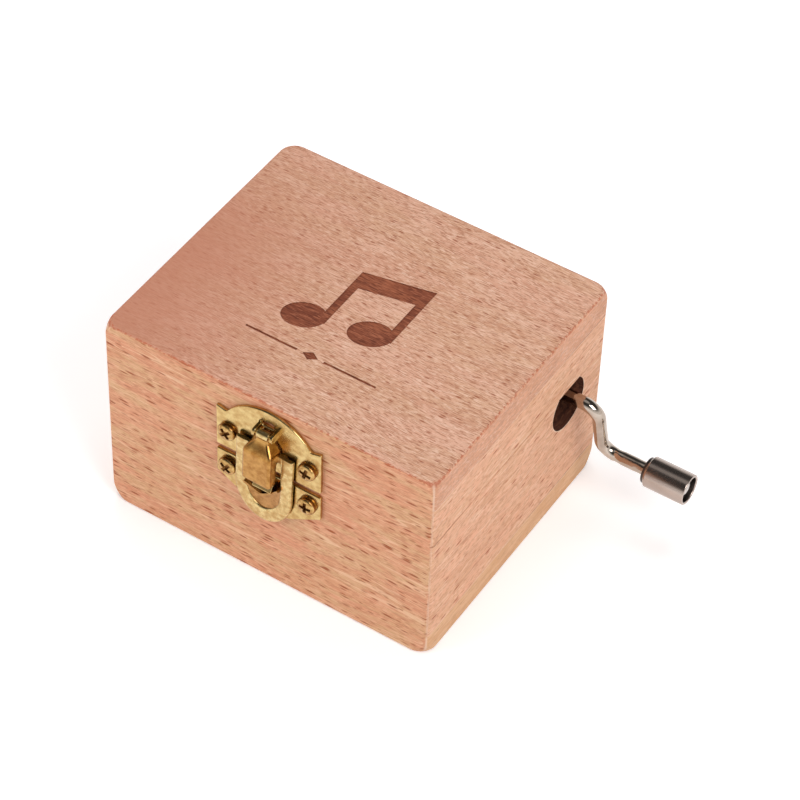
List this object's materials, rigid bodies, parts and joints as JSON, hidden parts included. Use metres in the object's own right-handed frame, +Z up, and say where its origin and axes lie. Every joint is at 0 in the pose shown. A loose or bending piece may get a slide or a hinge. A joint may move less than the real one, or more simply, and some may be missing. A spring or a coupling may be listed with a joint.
{
  "type": "hand crank music box",
  "caption": "Hinged wooden music box with a sprung brass latch and a bent wire crank that turns a pinned cylinder and comb movement through a worm.",
  "frame": {"origin": "centre of the flat underside of the box", "axes": "+Z up through the lid, -Y the latch side, +X the crank side"},
  "size_m": [0.0862, 0.0606, 0.042],
  "materials": {
    "beech_top": "bare sanded beech, fine pores",
    "beech_wall": "bare sanded beech, flecked grain",
    "brass": "polished, lightly satin on the rim",
    "brushed_steel": "brushed round",
    "nickel": "bright nickel plate",
    "drum_brass": "turned, satin",
    "comb_steel": "ground steel",
    "plated_zinc": "satin plated casting"
  },
  "bodies": {
    "base": {"bottom_panel": "beech_wall", "base_front_wall": "beech_wall", "base_right_wall": "beech_wall", "base_back_wall": "beech_wall", "base_left_wall": "beech_wall", "left_hinge_base_leaf": "brass", "left_hinge_pin": "brass", "left_hinge_base_screw_1": "brass", "left_hinge_base_screw_2": "brass", "right_hinge_base_leaf": "brass", "right_hinge_pin": "brass", "right_hinge_base_screw_1": "brass", "right_hinge_base_screw_2": "brass", "latch_lower_plate": "brass", "latch_lower_screw_left": "brass", "latch_lower_screw_right": "brass", "bedplate": "plated_zinc", "comb_block": "plated_zinc", "comb": "comb_steel", "comb_screw_1": "drum_brass", "comb_screw_2": "drum_brass", "front_post": "plated_zinc", "back_post": "plated_zinc", "inner_crank_bracket": "plated_zinc", "outer_crank_bracket": "plated_zinc", "foot_screw_1": "comb_steel", "foot_screw_2": "comb_steel", "foot_screw_3": "comb_steel", "foot_screw_4": "comb_steel", "foot_screw_5": "comb_steel", "foot_screw_6": "comb_steel", "bed_screw_1": "comb_steel", "bed_screw_2": "comb_steel", "bed_screw_3": "comb_steel"},
    "lid": {"top_panel": "beech_top", "lid_front_wall": "beech_wall", "lid_right_wall": "beech_wall", "lid_back_wall": "beech_wall", "lid_left_wall": "beech_wall", "left_hinge_lid_leaf": "brass", "left_hinge_lid_screw_1": "brass", "left_hinge_lid_screw_2": "brass", "right_hinge_lid_leaf": "brass", "right_hinge_lid_screw_1": "brass", "right_hinge_lid_screw_2": "brass", "latch_upper_plate": "brass", "latch_pin": "brass", "latch_upper_screw_left": "brass", "latch_upper_screw_right": "brass"},
    "tongue": {"latch_tongue": "brass"},
    "crank": {"crank": "nickel", "worm": "comb_steel"},
    "cylinder": {"cylinder": "drum_brass", "cylinder_arbor": "comb_steel", "worm_wheel": "drum_brass"},
    "knob": {"knob": "brushed_steel"}
  },
  "joints": [
    {"name": "lid_hinge", "type": "hinge", "parent": "base", "child": "lid", "pos_m": [0, 0.02835, 0.0275], "axis": [-1, 0, 0], "range_deg": [0, 110]},
    {"name": "latch_swing", "type": "hinge", "parent": "lid", "child": "tongue", "pos_m": [0.00107, -0.0289, 0.037], "axis": [-1, 0, 0], "range_deg": [0, 100]},
    {"name": "crank_turn", "type": "hinge", "parent": "base", "child": "crank", "pos_m": [0.007, 0.0168, 0.0245], "axis": [1, 0, 0], "continuous": true},
    {"name": "cylinder_turn", "type": "hinge", "parent": "base", "child": "cylinder", "pos_m": [0.007, 0, 0.016], "axis": [0, 1, 0], "continuous": true},
    {"name": "knob_spin", "type": "hinge", "parent": "crank", "child": "knob", "pos_m": [0.05, 0.01996, 0.0122], "axis": [1, 0, 0], "continuous": true}
  ],
  "couplings": [
    {"joint": "cylinder_turn", "follows": "crank_turn", "ratio": -0.05}
  ]
}
